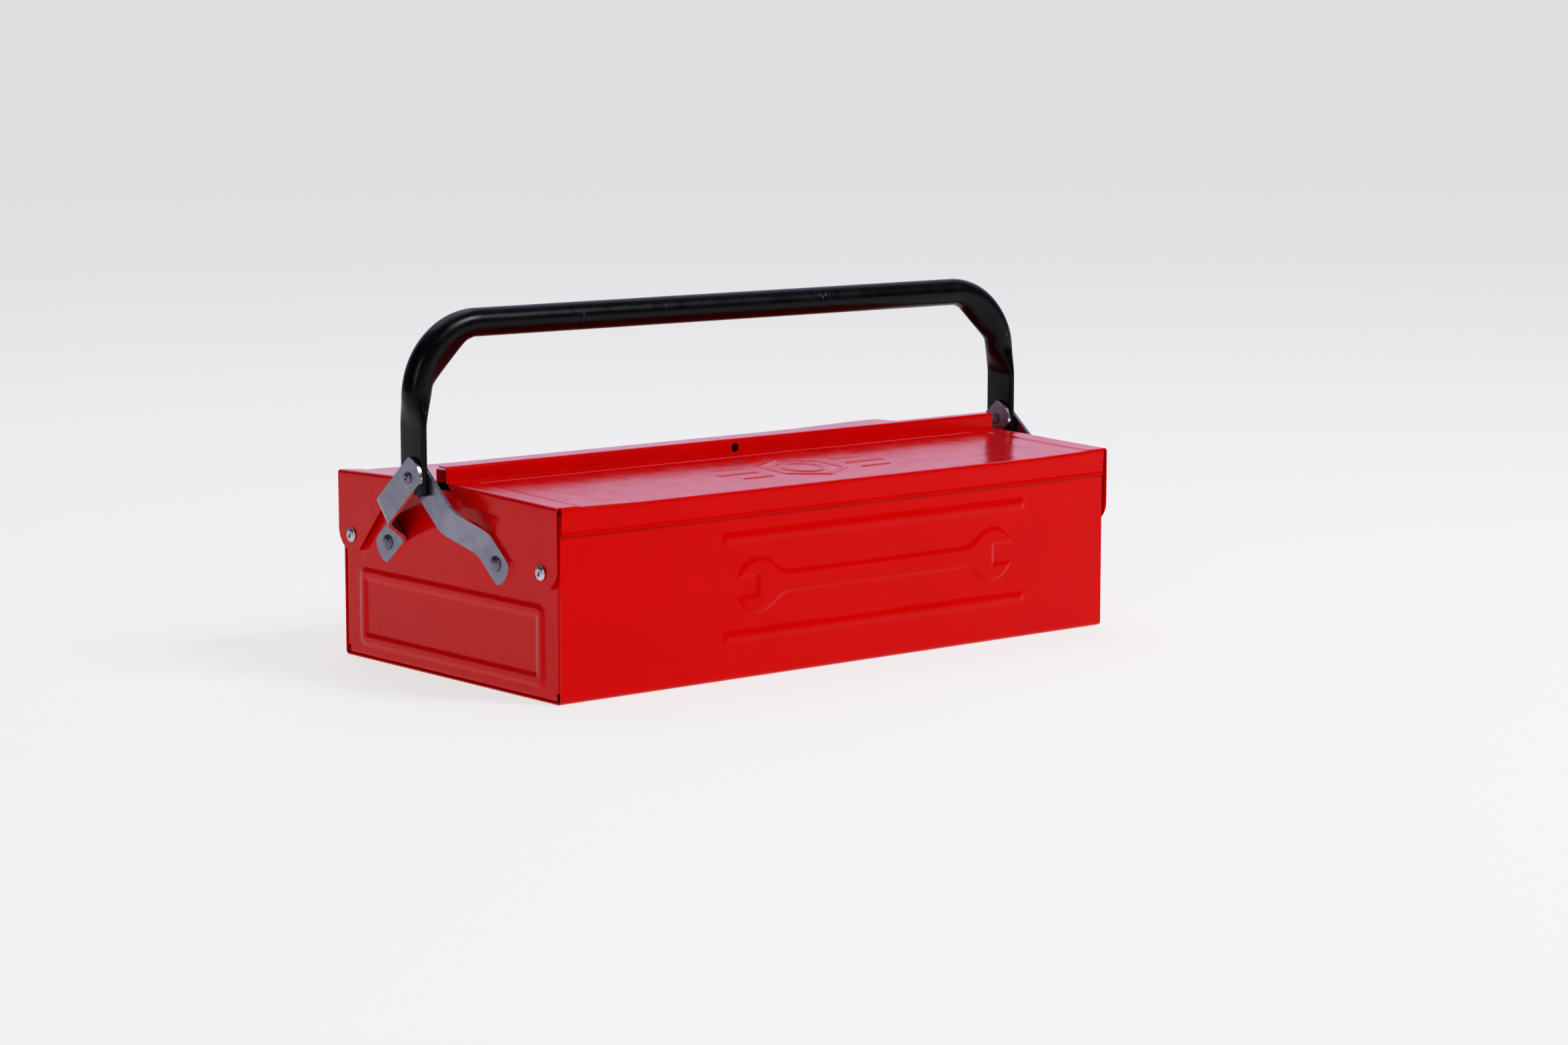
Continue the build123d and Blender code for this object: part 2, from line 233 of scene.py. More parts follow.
def lay_grid(mesh, rows, keep=None):
    """Quads between rows of equally many points; keep(row, column) says which of them to make."""
    made = [[mesh.verts.new(point) for point in row] for row in rows]
    for r in range(len(rows) - 1):
        for c in range(len(rows[r]) - 1):
            if keep is None or keep(r, c):
                mesh.faces.new((made[r][c], made[r][c + 1], made[r + 1][c + 1], made[r + 1][c]))
    return made


def build(mesh, name, material, body, slot, *replaced):
    """Weld a mesh drawn in millimetres, put it on its CAD body and hide the CAD nodes it stands for."""
    bmesh.ops.remove_doubles(mesh, verts=mesh.verts, dist=0.004)
    bmesh.ops.delete(mesh, geom=[v for v in mesh.verts if not v.link_faces], context="VERTS")
    bmesh.ops.scale(mesh, vec=(0.001, 0.001, 0.001), verts=mesh.verts)
    for face in mesh.faces:
        face.smooth = True
    data = bpy.data.meshes.new(name)
    mesh.to_mesh(data)
    mesh.free()
    data.materials.append(material)
    piece = bpy.data.objects.new(name, data)
    bpy.context.scene.collection.objects.link(piece)
    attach(piece, body)
    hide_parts(*replaced)
    return piece


def thicken(piece, thickness=sheet, rim_slot=0):
    """Gives a sheet its thickness behind the drawn face."""
    solid = piece.modifiers.new("sheet_thickness", "SOLIDIFY")
    solid.thickness = thickness / 1000
    solid.offset = -1
    solid.use_even_offset = True
    solid.material_offset_rim = rim_slot


def ease(piece, width=0.18, segments=2):
    """Breaks the cut edges, as shearing and paint do."""
    bevel = piece.modifiers.new("eased_edges", "BEVEL")
    bevel.width = width / 1000
    bevel.segments = segments
    bevel.limit_method = "ANGLE"
    bevel.angle_limit = math.radians(50)
    bevel.harden_normals = True


def ripple(x, y, z, size=70.0, height=0.14):
    """The slight unevenness of thin pressed sheet, in millimetres."""
    return height * noise.noise(Vector((x, y, z)) / size)


def bar_distance(across, up, half, radius):
    """How far a point lies outside a round-ended bar, negative inside it."""
    return math.hypot(max(abs(across) - half, 0), up) - radius


def block_distance(across, up, half_across, half_up):
    """How far a point lies outside a rectangle, negative inside it."""
    dx, dy = abs(across) - half_across, abs(up) - half_up
    return math.hypot(max(dx, 0), max(dy, 0)) + min(max(dx, dy), 0)


def blended(first, second, radius):
    """The nearer of two shapes, with their meeting corner filled to a radius."""
    mix = max(radius - abs(first - second), 0) / radius
    return min(first, second) - mix * mix * radius / 4


def front_press(x, z):
    """How far the front wall's pressed pattern stands proud at a point."""
    x -= pattern_x
    bead = min(bar_distance(x, z - height, bead_half, bead_r) for height in bead_heights)
    up = z - spanner_z
    heads = min(math.hypot(x - end * spanner_reach, up) - head_r for end in (-1, 1))
    jaws = min(block_distance(x - end * (spanner_reach + jaw_depth / 2), up, jaw_depth / 2, jaw_half)
               for end in (-1, 1))
    spanner = max(blended(heads, block_distance(x, up, spanner_reach, shaft_half), neck_r), -jaws)
    rounded_bead = smooth((press_slope / 2 - bead) / (bead_r + press_slope / 2))
    return relief * max(rounded_bead, smooth((press_slope / 2 - spanner) / press_slope))


hem_gap = 0.05
fold_r = sheet + hem_gap
hem_y = wall_y - 2 * fold_r
pattern_left = pattern_x - bead_half - pattern_margin
pattern_right = pattern_x + bead_half + pattern_margin
pattern_low, pattern_high = bead_heights[0] - pattern_margin, bead_heights[1] + pattern_margin
wrap_columns = joined(
    [-wrap_end, -hem_end], spaced(-hem_end, pattern_left, coarse), spaced(pattern_left, pattern_right, fine),
    spaced(pattern_right, hem_end, coarse), [hem_end, wrap_end])
fold = arc((wall_y - fold_r, wall_top - fold_r), fold_r, 180, 0, 8)
bend = arc((wall_y - wrap_bend_r, wrap_bend_r), wrap_bend_r, 0, -90, 6)
half_profile = joined(
    [(hem_y, z) for z in spaced(wall_top - hem_height, wall_top - fold_r, hem_step)], fold,
    [(wall_y, z) for z in spaced(wall_top - fold_r, pattern_high, wall_step)],
    [(wall_y, z) for z in spaced(pattern_high, pattern_low, fine)],
    [(wall_y, z) for z in spaced(pattern_low, wrap_bend_r, wall_step)], bend)
hem_rows = 2 + len(fold)
plain_profile = joined(
    [(wall_y, z) for z in spaced(wall_top - fold_r, wrap_bend_r, coarse)], bend)
back_half = joined([(hem_y, wall_top - hem_height), (hem_y, wall_top - fold_r)], fold, plain_profile)
bottom = [(y, 0.0) for y in spaced(-(wall_y - wrap_bend_r), wall_y - wrap_bend_r, bottom_step)]
wrap_profile = joined([(-y, z) for y, z in half_profile], bottom, list(reversed(back_half)))


def wrap_point(x, y, z):
    """A point on the wrap's outside, with the front pattern and the sheet's unevenness."""
    if abs(abs(y) - wall_y) < 0.01 and wrap_bend_r < z < wall_top - fold_r:
        calm = smooth((z - wrap_bend_r) / fade_up) * smooth((wrap_end - abs(x)) / fade_across)
        out = ripple(x, y, z) * calm + (front_press(x, z) if y < 0 else 0)
        return (x, y + math.copysign(out, y), z)
    return (x, y, z)


wrap = bmesh.new()
wrap_rows = [[wrap_point(x, y, z) for x in wrap_columns] for y, z in wrap_profile]
back_hem_row = len(wrap_profile) - 1 - (1 + len(fold))
last_column = len(wrap_columns) - 2
lay_grid(wrap, wrap_rows, lambda r, c: 0 < c < last_column or hem_rows - 1 <= r < back_hem_row)
bmesh.ops.reverse_faces(wrap, faces=wrap.faces)
body_wrap = build(wrap, "folded_body", red_enamel, "box", "red_enamel", "body_wrap")
thicken(body_wrap)
ease(body_wrap)


# ---- End panels: pressed 0.8 mm plates with flanges turned in and spot-welded to the wrap ----
# A raised frame stiffens each one. Its rounded side bends leave a thin dark line beside the
# wrap's cut edges, with a small open notch at each lower corner. Same red enamel.
panel_low, panel_high = (corner * 1000 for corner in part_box("end_panel_right"))
panel_outside = panel_high.x - relief
flange_end, flange_y = panel_low.x, panel_high.y
panel_foot, panel_top = panel_low.z, panel_high.z
panel_bend_r = 2.2
frame_half, frame_low, frame_high = 88.0, 8.0, 51.5
frame_corner_r, frame_rib = 5.0, 6.0
frame_slope = press_slope + 0.6
above_frame = frame_high + 4
corner_cut = 5.0
notch = 3.0
across_step, frame_step, plain_step = 1.4, 1.2, 5.0
fade_side = 15.0

panel_bend_x = panel_outside - panel_bend_r
plate_edge, plate_foot = flange_y - panel_bend_r, panel_foot + panel_bend_r
half_across = joined([(flange_end, flange_y)], arc((panel_bend_x, plate_edge), panel_bend_r, 90, 0, 6))
across_line = joined([(x, -y) for x, y in half_across],
                     [(panel_outside, y) for y in spaced(-plate_edge, plate_edge, across_step)],
                     list(reversed(half_across)))
foot_bend = arc((panel_bend_x, plate_foot), panel_bend_r, -90, 0, 5)
up_line = joined([(flange_end, panel_foot)], foot_bend,
                 [(panel_outside, z) for z in (plate_foot + notch - frame_step, plate_foot + notch)],
                 [(panel_outside, z) for z in spaced(plate_foot + notch, above_frame, frame_step)],
                 [(panel_outside, z) for z in spaced(above_frame, panel_top, plain_step)])


def panel_press(across, z):
    """How far the raised frame stands proud: a rib that follows a rounded rectangle."""
    middle, half_up = (frame_low + frame_high) / 2, (frame_high - frame_low) / 2
    past_frame = block_distance(across, z - middle, frame_half - frame_corner_r, half_up - frame_corner_r)
    from_rib = abs(past_frame - frame_corner_r + frame_rib / 2) - frame_rib / 2
    return relief * smooth((press_slope / 2 - from_rib) / frame_slope)


def panel_point(side, x_across, y, x_up, z):
    """A point on a panel's outside, with its frame and unevenness; x follows the tighter bend."""
    x = min(x_across, x_up)
    if x == panel_outside:
        calm = smooth((plate_edge - abs(y)) / fade_side)
        x += panel_press(y, z) + ripple(side * x, y, z, size=60.0, height=0.12) * calm
    y = math.copysign(min(abs(y), flange_y - max(0, z - (panel_top - corner_cut))), y)
    return (side * x, side * y, z)


def panel_keeps(r, c):
    """Leaves out the lower corners, where neither bend reaches."""
    at_side = c < len(half_across) or c >= len(across_line) - 1 - len(half_across)
    return not (at_side and r < len(foot_bend) + 2)


for side, cad_node in ((-1, "end_panel_left"), (1, "end_panel_right")):
    panel = bmesh.new()
    panel_rows = [[panel_point(side, xa, y, xu, z) for xa, y in across_line] for xu, z in up_line]
    lay_grid(panel, panel_rows, panel_keeps)
    end_panel = build(panel, f"pressed_{cad_node}", red_enamel, "box", "red_enamel", cad_node)
    thicken(end_panel)
    ease(end_panel)


# ---- Lids: two folded 0.8 mm sheets whose inner edges lap over each other in a low ridge ----
# Outer skirt, top, ridge wall and lip are one sheet, and an ear at each end turns down to the
# rivet the lid swings on. The top carries a pressed bead, end bands and a plain nut emblem.
edge_z, skirt_drop = 106.6, 15.5
lid_slope = 3.2             # rise of the top from its outer edge to the foot of the ridge
skirt_end = 199.8
lid_bend_r, foot_bend_r = 1.8, 0.7
bead_q, lid_bead_half, lid_bead_r, lid_bead_height = 10.4, 186.5, 1.3, 0.5
band_start, band_end, band_height = 185.0, 189.0, 0.55
field_start, field_run = 5.0, 6.0    # the sunk field begins this far from the middle plane
emblem_x, emblem_q, emblem_height = 4.0, 60.0, 0.6
emblem_reach_x, emblem_reach_q = 64.0, 28.0
nut_r, nut_hole_r, line_half = 25.0, 13.0, 1.6
bar_rows, bar_x, bar_half, bar_taper = (-14, 0, 14), 47, 13, 0.25
flank_out = 0.8             # a pressed line's flank reaches this far outside its edge
lock_hole_r, lock_hole_z = 2.7, 113.4
pivot_q, lobe_q, lobe_z, lobe_r = 91.0, 91.5, 74.0, 13.0
knee, toe, ear_root = (53.0, 97.0), (15.0, 99.3), (4.6, 109.2)


def emblem_distance(x, q):
    """Distance to the emblem's lines: a hexagon nut with its round hole, and three bars each side."""
    x, q = x - emblem_x, q - emblem_q
    turn = math.radians(60)
    sides = max(abs(x * math.cos(i * turn) + q * math.sin(i * turn)) for i in range(3))
    nut = abs(sides - nut_r * math.cos(turn / 2)) - line_half
    hole = abs(math.hypot(x, q) - nut_hole_r) - line_half
    bars = min(bar_distance(abs(x) - bar_x + abs(row) * bar_taper, q - row,
                            bar_half - abs(row) * bar_taper, line_half) for row in bar_rows)
    return min(nut, hole, bars)


def lid_press(x, q, facing):
    """Height of the pressed patterns over the end bands; the field between the bands is sunk."""
    bead = bar_distance(x, q - bead_q, lid_bead_half, lid_bead_r)
    band = smooth(((-x if facing > 0 else abs(x)) - band_start) / (band_end - band_start))
    raised = lid_bead_height * smooth((flank_out - bead) / press_slope)
    if abs(x - emblem_x) < emblem_reach_x + 2 and abs(q - emblem_q) < emblem_reach_q + 2:
        emblem = smooth((flank_out - emblem_distance(x, q)) / press_slope)
        raised = max(raised, emblem_height * emblem)
    return (raised - band_height * smooth((q - field_start) / field_run)) * (1 - band)


def sag(x, facing):
    """How far a lid's outer edge has sunk between its ends; the back lid's left corner stays up.

    Each term is a depth in millimetres that eases in over a run of the lid's length.
    """
    if facing < 0:
        return 0.8 * smooth((190 - abs(x)) / 50)
    left = 1.0 * smooth((x + 201) / 16) + 0.9 * smooth((x + 190) / 75)
    return left - 1.2 * smooth((x - 120) / 75)


def skirt_flare(rise):
    """How far the skirt lies behind its lower edge, which the shear has pushed out by 0.4 mm."""
    return 0.4 * smooth((rise - 0.4) / 1.6) * smooth((11.5 - rise) / 6)


def ear_lower_edge(q):
    """Height of the ear's lower edge at a distance from the box's middle plane."""
    reach = math.hypot(lobe_q - knee[0], knee[1] - lobe_z)
    tangent = math.atan2(knee[1] - lobe_z, knee[0] - lobe_q) + math.acos(lobe_r / reach)
    touch_q, touch_z = lobe_q + lobe_r * math.cos(tangent), lobe_z + lobe_r * math.sin(tangent)
    if q >= touch_q:
        return lobe_z - math.sqrt(max(0, lobe_r ** 2 - (q - lobe_q) ** 2))
    for near, far in ((knee, (touch_q, touch_z)), (toe, knee), (ear_root, toe)):
        if near[0] <= q <= far[0]:
            return near[1] + (far[1] - near[1]) * (q - near[0]) / (far[0] - near[0])
    return ear_root[1]


def lid_top(facing, edge_q, wall_q, x, q):
    """Height of a lid's top, which rises to the ridge and carries the pressed patterns."""
    rise = lid_slope * (edge_q - q) / (edge_q - wall_q)
    calm = smooth((edge_q - q) / 20) * smooth((q - wall_q) / 15)
    sunk = sag(x, facing) * smooth((q - 12) / 75)
    wave = ripple(x, facing * q, 0, size=55.0, height=0.3)
    return edge_z + rise - sunk + lid_press(x, q, facing) + calm * wave


def ear_line(side, facing, q, start):
    """Points down an ear at one distance q: over its bend and straight to the shaped lower edge."""
    drop = start - ear_lower_edge(q)
    straight = max(0, drop - lid_bend_r)
    swing = math.pi / 2 if straight > 0 else math.acos(max(0, 1 - drop / lid_bend_r))
    line = [(lid_bend_x + lid_bend_r * math.sin(swing * i / 6),
             start - lid_bend_r * (1 - math.cos(swing * i / 6))) for i in range(7)]
    line += [(line[-1][0], line[-1][1] - straight * i / 10) for i in range(1, 11)]
    wave = [ripple(side * 30, facing * q, z, size=45.0, height=0.25) * min(1, (start - z) / 20)
            for x, z in line]
    return [(side * (x + w), facing * q, z) for (x, z), w in zip(line, wave)]


def lock_hole_distance(x, z):
    """How far a point of the ridge wall lies from the middle of the padlock hole."""
    return math.hypot(x, z - lock_hole_z)


lid_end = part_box("front_lid")[1].x * 1000
lid_bend_x = lid_end - lid_bend_r
skirt_z, ridge_foot = edge_z - skirt_drop, edge_z + lid_slope
lobe_marks = [lobe_q + lobe_r * math.cos(math.radians(a)) for a in range(0, 181, 9)]
ear_marks = lobe_marks + [knee[0], toe[0]]
hole_reach, emblem_middle = 3.6, 10.0
lid_columns = joined(
    [-lid_end, -lid_bend_x, -skirt_end], spaced(-skirt_end, -band_end - 1, 3),
    spaced(-band_end - 1, -band_start + 3, 0.7), spaced(-band_start + 3, emblem_x - emblem_reach_x, 4.5),
    spaced(emblem_x - emblem_reach_x, emblem_x - emblem_middle, fine),
    spaced(emblem_x - emblem_middle, -hole_reach, fine), spaced(-hole_reach, hole_reach, 0.4),
    spaced(hole_reach, emblem_x + emblem_middle, fine),
    spaced(emblem_x + emblem_middle, emblem_x + emblem_reach_x, fine),
    spaced(emblem_x + emblem_reach_x, band_start - 3, 4.5), spaced(band_start - 3, band_end + 1, 0.7),
    spaced(band_end + 1, skirt_end, 3), [skirt_end, lid_bend_x, lid_end])
column_middles = [(a + b) / 2 for a, b in zip(lid_columns, lid_columns[1:])]

# the front lid's ridge wall stands nearer the middle, and its lip laps over the back lid's
for facing, cad_node, wall_q, lip_end, lip_bend_r in (
        (-1, "front_lid", 4.0, -3.5, 1.8), (1, "back_lid", 6.0, -2.4, 1.0)):
    lid_low, lid_high = (corner * 1000 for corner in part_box(cad_node))
    edge_q = max(abs(lid_low.y), abs(lid_high.y))
    lip_z = lid_high.z
    top_q = joined(
        spaced(edge_q - lid_bend_r, emblem_q + emblem_reach_q, 1.7),
        spaced(emblem_q + emblem_reach_q, emblem_q - emblem_reach_q, fine),
        spaced(emblem_q - emblem_reach_q, bead_q + 3.5, 1.7), spaced(bead_q + 3.5, bead_q - 3.5, 0.45),
        spaced(bead_q - 3.5, wall_q + foot_bend_r, 1.2))
    top_q = sorted(set(top_q + [q for q in ear_marks if q < edge_q - lid_bend_r]), reverse=True)
    skirt_rise = joined(spaced(skirt_z, skirt_z + 3, 0.5), spaced(skirt_z + 3, edge_z - lid_bend_r, 2.6))
    skirt_line = joined([(edge_q - skirt_flare(z - skirt_z), z) for z in skirt_rise],
                        arc((edge_q - lid_bend_r, edge_z - lid_bend_r), lid_bend_r, 0, 90, 6))
    wall_foot = ridge_foot + foot_bend_r
    ridge_line = joined(
        arc((wall_q + foot_bend_r, wall_foot), foot_bend_r, -90, -180, 4),
        [(wall_q, z) for z in spaced(wall_foot, lip_z - lip_bend_r, 0.4)],
        arc((wall_q - lip_bend_r, lip_z - lip_bend_r), lip_bend_r, 0, 90, 6),
        [(q, lip_z) for q in spaced(wall_q - lip_bend_r, lip_end, 1)])

    # rows run from the skirt's lower edge over the top and up the ridge to the lip
    lid_rows = []
    for q, z in skirt_line[:-1]:
        lift = (z - skirt_z) / skirt_drop
        pressed = smooth(1 + (z - edge_z) / 8)
        lid_rows.append([
            (x, facing * (q + (ripple(x, 9, z, size=80.0, height=0.2) - 0.12) * (1 - lift)),
             z - sag(x, facing) * lift + lid_press(x, q, facing) * pressed) for x in lid_columns])
    skirt_count = len(lid_rows)
    lid_rows += [[(x, facing * q, lid_top(facing, edge_q, wall_q, x, q)) for x in lid_columns] for q in top_q]
    top_count = len(lid_rows)
    lid_rows += [[(x, facing * (q + ripple(x, 5, 0, size=90.0, height=0.25)), z) for x in lid_columns]
                 for q, z in ridge_line[1:]]

    # the skirt stops short of the ears, the ears' bends are drawn below, and the wall has its hole
    kept_faces = set()
    for r in range(len(lid_rows) - 1):
        for c, x in enumerate(column_middles):
            if r < skirt_count:
                kept = abs(x) <= skirt_end
            elif r < top_count - 1:
                kept = abs(x) < lid_bend_x
            else:
                z = (lid_rows[r][c][2] + lid_rows[r + 1][c][2]) / 2
                on_wall = abs(abs(lid_rows[r][c][1]) - wall_q) < 0.6
                kept = not (on_wall and lock_hole_distance(x, z) < lock_hole_r)
            if kept:
                kept_faces.add((r, c))
    lid = bmesh.new()
    verts = lay_grid(lid, lid_rows, lambda r, c: (r, c) in kept_faces)
    for vert in (vert for row in verts[top_count - 1:] for vert in row):
        at_rim = 0 < len(vert.link_faces) < 4
        if at_rim and lock_hole_distance(vert.co.x, vert.co.z) < lock_hole_r + 0.6:
            away = Vector((vert.co.x, 0, vert.co.z - lock_hole_z)).normalized() * lock_hole_r
            vert.co.x, vert.co.z = away.x, lock_hole_z + away.z

    # each ear: the top runs over a bend and down to the ear's shaped lower edge
    ear_q = sorted((q for q in lobe_marks if q > edge_q - lid_bend_r), reverse=True) + top_q
    for side in (-1, 1):
        columns = [ear_line(side, facing, q, lid_top(facing, edge_q, wall_q, side * lid_bend_x, q))
                   for q in ear_q]
        lay_grid(lid, columns if side > 0 else [list(reversed(column)) for column in columns])
    if facing > 0:
        bmesh.ops.reverse_faces(lid, faces=lid.faces)
    lid_piece = build(lid, f"folded_{cad_node}", red_enamel, cad_node, "red_enamel", cad_node)
    thicken(lid_piece)
    ease(lid_piece)


# ---- Handle: 16 mm steel tube bent twice, its legs pressed flat where the rivets pass ----
# Pressing leaves a crease that runs up the leg and fades in the bend, whose inner side has folded
# to a straight chord with a small bulge at each end. Satin black enamel with sparse pale scuffs.
tube_r = 8.0
bend_r = 40.0
handle_low, handle_high = (corner * 1000 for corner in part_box("handle_tube"))
handle_y = (handle_low.y + handle_high.y) / 2
grip_z = handle_high.z - tube_r
leg_x = handle_high.x - tube_r
leg_bottom = handle_low.z
tube_wall = 1.2
kink_half = math.radians(33)    # the bend's inner side has folded to a chord over twice this angle
grip_lean = 2.6             # the grip stands this much lower at its right end
lean_start, lean_run = 150.0, 40.0    # heights over which the legs take up that slope
crease_angle = math.radians(38)
crease_lift, bend_flattening = 0.45, 0.5
round_edge, round_bulge = 1.70, 3.07    # how far the round tube bulges past its creases
flat_half_wide, flat_out = 11.25, 2.0    # the flat lies this far outside the tube's axis
flat_crease_b, flat_crease_n, flat_bulge = 10.2, 1.7, 0.3
flat_lead, flat_run = 4.0, 20.0    # the flat begins this far before the bend's end and needs this run
open_share = 0.62           # how much of the flat's half thickness stays open in the slot at its foot
grip_half = leg_x - bend_r
bend_length = bend_r * math.pi / 2
leg_length = grip_z - bend_r - leg_bottom


def black_enamel_material():
    """Satin black enamel with a little orange peel and sparse upright scuffs under 1 mm wide."""
    material = enamel("satin_enamel_black", "#040406", "#08080B", 0.012, 0.26, 0.14, "#FFFFFF")
    tree = material.node_tree
    place = add_node(tree, "ShaderNodeTexCoord").outputs["Object"]
    stretched = add_node(tree, "ShaderNodeMapping", Vector=place, Scale=(900, 900, 260))
    scratch = add_node(tree, "ShaderNodeTexNoise", Vector=stretched.outputs["Vector"], Scale=1, Detail=2)
    where = add_node(tree, "ShaderNodeTexNoise", Vector=place, Scale=33, Detail=1)
    both = add_node(tree, "ShaderNodeMath", {"operation": "MULTIPLY"},
                    i0=scratch.outputs["Fac"], i1=where.outputs["Fac"])
    marks = add_node(tree, "ShaderNodeMapRange", Value=both.outputs["Value"],
                     From_Min=0.42, From_Max=0.47, To_Min=0.0, To_Max=0.8)
    surface = next(n for n in tree.nodes if n.type == "BSDF_PRINCIPLED")
    tone = surface.inputs["Base Color"].links[0].from_socket
    scuffed = add_node(tree, "ShaderNodeMix", {"data_type": "RGBA"}, Factor=marks.outputs["Result"],
                       i6=tone, i7=linear("#6A6A72"))
    tree.links.new(scuffed.outputs[2], surface.inputs["Base Color"])
    return material


black_enamel = black_enamel_material()


def gathered(along, middle, width):
    """A rounded bump along the tube, where the folded side gathers at an end of its chord."""
    return math.exp(-((along - middle) / width) ** 2)


def leg_section(along):
    """Shape of the tube a distance from the start of its bend: crease place, bulges and shift."""
    corner_b, corner_n = tube_r * math.cos(crease_angle), tube_r * math.sin(crease_angle)
    flat = smooth((along - bend_length + flat_lead) / flat_run)
    in_bend = smooth((along - 2) / 30)
    corner_b += (flat_crease_b - corner_b) * flat
    corner_n += (flat_crease_n - corner_n) * flat + crease_lift * in_bend * (1 - flat)
    edge = round_edge + (flat_half_wide - flat_crease_b - round_edge) * flat
    outer = round_bulge - bend_flattening * in_bend
    outer += (flat_bulge - outer) * flat
    swing = along / bend_r - math.pi / 4
    chord = (bend_r - tube_r) * max(0.0, 1 - math.cos(kink_half) / math.cos(min(abs(swing), kink_half)))
    first, last = bend_r * (math.pi / 4 - kink_half), bend_r * (math.pi / 4 + kink_half)
    bulged = gathered(along, first - 1, 2.6) + 0.6 * gathered(along, last + 1, 2.2)
    inner = round_bulge + chord + 0.7 * bulged
    inner += (flat_bulge - inner) * flat
    return corner_b, corner_n, edge, outer, inner, flat_out * flat


def section_ring(along, shrink=0.0):
    """Points round the tube as (forward-back, outward) pairs; shrink draws the wall's inside."""
    corner_b, corner_n, edge, outer, inner, shift = leg_section(along)
    corner_sin, corner_cos = math.sin(crease_angle), math.cos(crease_angle)
    crease = math.degrees(crease_angle)
    half_turn = [crease * i / 5 for i in range(-5, 6)]
    half_turn += [crease + (180 - 2 * crease) * i / 12 for i in range(1, 12)]
    ring = []
    for step in sorted(s % 360 for s in half_turn + [180 + s for s in half_turn]):
        c, s = math.cos(math.radians(step)), math.sin(math.radians(step))
        if abs(s) >= corner_sin - 1e-6:
            bulge = (abs(s) - corner_sin) / (1 - corner_sin)
            b = corner_b * c / corner_cos
            n = math.copysign(corner_n + (outer if s > 0 else inner) * bulge, s)
        else:
            bulge = (abs(c) - corner_cos) / (1 - corner_cos)
            b = math.copysign(corner_b + edge * bulge, c)
            n = corner_n * s / corner_sin
        if shrink:
            b -= math.copysign(min(abs(b), shrink), b)
            n -= math.copysign(min(abs(n) * open_share, shrink), n)
        ring.append((b, n + shift))
    return ring


def tube_place(along):
    """Middle of the tube in the XZ plane at the right end, and its outward direction."""
    if along <= 0:
        return (grip_half + along, grip_z), (0, 1)
    if along < bend_length:
        a = along / bend_r
        out = (math.sin(a), math.cos(a))
        return (grip_half + bend_r * out[0], grip_z - bend_r + bend_r * out[1]), out
    return (leg_x, grip_z - bend_r - (along - bend_length)), (1, 0)


def lean(x, z):
    """How much lower the handle stands at a place than if its grip were level."""
    return grip_lean * (1 + x / leg_x) / 2 * smooth((z - lean_start) / lean_run)


def tube_ring(side, along, shrink=0.0):
    """A ring of points round the tube at one end of the handle."""
    (x, z), out = tube_place(along)
    ring = [(side * (x + n * out[0]), b, z + n * out[1]) for b, n in section_ring(along, shrink)]
    return [(x, handle_y + b, z - lean(x, z)) for x, b, z in ring]


# rings stand closest where the inner side folds and where the flat begins
half_stations = joined(
    spaced(-grip_half, -10, 12), spaced(-10, 6, 0.6), spaced(6, bend_length - 9, 1.6),
    spaced(bend_length - 9, bend_length + 20, 0.8), spaced(bend_length + 20, bend_length + leg_length, 4))
end_station = half_stations[-1]
slot_depth = 14.0
rings = [tube_ring(1, end_station - slot_depth, tube_wall), tube_ring(1, end_station, tube_wall)]
rings += [tube_ring(1, along) for along in reversed(half_stations)]
rings += [tube_ring(-1, along) for along in half_stations[1:]]
rings += [tube_ring(-1, end_station, tube_wall), tube_ring(-1, end_station - slot_depth, tube_wall)]
handle = bmesh.new()
made = lay_grid(handle, [ring + ring[:1] for ring in rings])
for cap, flip in ((made[0], True), (made[-1], False)):
    ring = cap[:-1]
    handle.faces.new(list(reversed(ring)) if flip else ring)
bmesh.ops.recalc_face_normals(handle, faces=handle.faces)
handle_tube = build(handle, "bent_tube_handle", black_enamel, "handle", "black_enamel", "handle_tube")
ease(handle_tube, 0.2)


# ---- Handle links: sheared and joggled strips of 2 mm zinc-plated steel ----
# Each stands on its rivet on the end panel, and the joggle takes one outside the handle's leg and
# the other inside. Zinc dulls to a soft blue grey with rubbed streaks; sheared edges stay bright.
link_thick, link_half_wide, link_end_r = 2.0, 8.5, 11.5
foot_z, pivot_z = 70.0, 113.5
foot_spread = 52.0
ramp_start, ramp_end, joggle_r = 15.0, 33.0, 4.0
ramp_margin = 6.0


